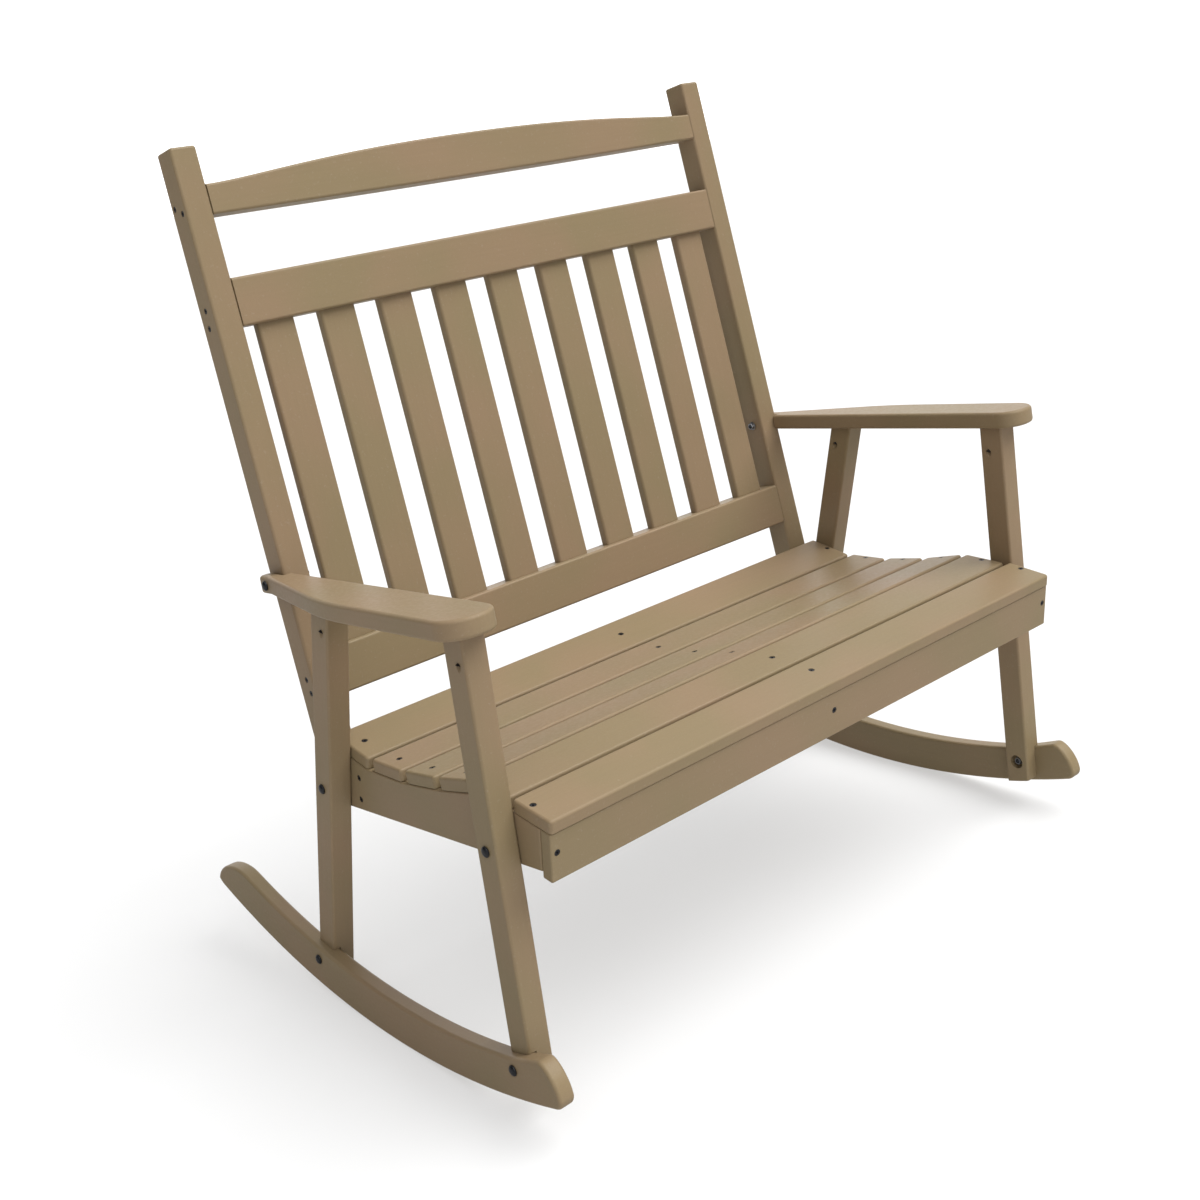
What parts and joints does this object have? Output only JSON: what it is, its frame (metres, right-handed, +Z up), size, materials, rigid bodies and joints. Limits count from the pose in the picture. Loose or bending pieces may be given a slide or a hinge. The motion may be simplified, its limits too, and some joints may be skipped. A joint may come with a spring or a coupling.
{
  "type": "rocking bench",
  "caption": "Two-seat porch rocker of plastic boards: tall slatted back, contoured slat seat, shaped arms on splayed legs and curved rockers, bolted and screwed together.",
  "frame": {"origin": "on the floor, under the middle of the overall box of the bench standing still", "axes": "+X along the bench to the sitter's left as seen from in front (the right end in the picture), +Y to the rear, +Z up"},
  "size_m": [1.107, 0.864, 1.2059],
  "materials": {
    "board": "matte grained plastic lumber, light brown",
    "bolt": "black coated domed bolts",
    "nut": "grey zinc plated flange nuts",
    "screw": "dark coated countersunk screws"
  },
  "bodies": {
    "root": {"apron_screw_centre": "screw", "apron_screw_left": "screw", "apron_screw_right": "screw", "back_slat_1": "board", "back_slat_2": "board", "back_slat_3": "board", "back_slat_4": "board", "back_slat_5": "board", "back_slat_6": "board", "back_slat_7": "board", "back_slat_8": "board", "back_slat_9": "board", "centre_support": "board", "crest_rail": "board", "front_apron": "board", "left_arm": "board", "left_arm_bolt": "bolt", "left_arm_nut": "nut", "left_back_post": "board", "left_front_leg": "board", "left_front_leg_bolt": "bolt", "left_front_leg_nut": "nut", "left_front_rocker_bolt": "bolt", "left_front_rocker_nut": "nut", "left_rear_leg": "board", "left_rear_leg_bolt": "bolt", "left_rear_leg_nut": "nut", "left_rear_rocker_bolt": "bolt", "left_rear_rocker_nut": "nut", "left_rocker": "board", "left_side_plate": "board", "left_stretcher_screw_lower": "screw", "left_stretcher_screw_upper": "screw", "lower_rail": "board", "rear_stretcher": "board", "right_arm": "board", "right_arm_bolt": "bolt", "right_arm_nut": "nut", "right_back_post": "board", "right_front_leg": "board", "right_front_leg_bolt": "bolt", "right_front_leg_nut": "nut", "right_front_rocker_bolt": "bolt", "right_front_rocker_nut": "nut", "right_rear_leg": "board", "right_rear_leg_bolt": "bolt", "right_rear_leg_nut": "nut", "right_rear_rocker_bolt": "bolt", "right_rear_rocker_nut": "nut", "right_rocker": "board", "right_side_plate": "board", "right_stretcher_screw_lower": "screw", "right_stretcher_screw_upper": "screw", "seat_slat_1": "board", "seat_slat_2": "board", "seat_slat_3": "board", "seat_slat_4": "board", "seat_slat_5": "board", "seat_slat_6": "board", "upper_rail": "board"}
  },
  "joints": []
}
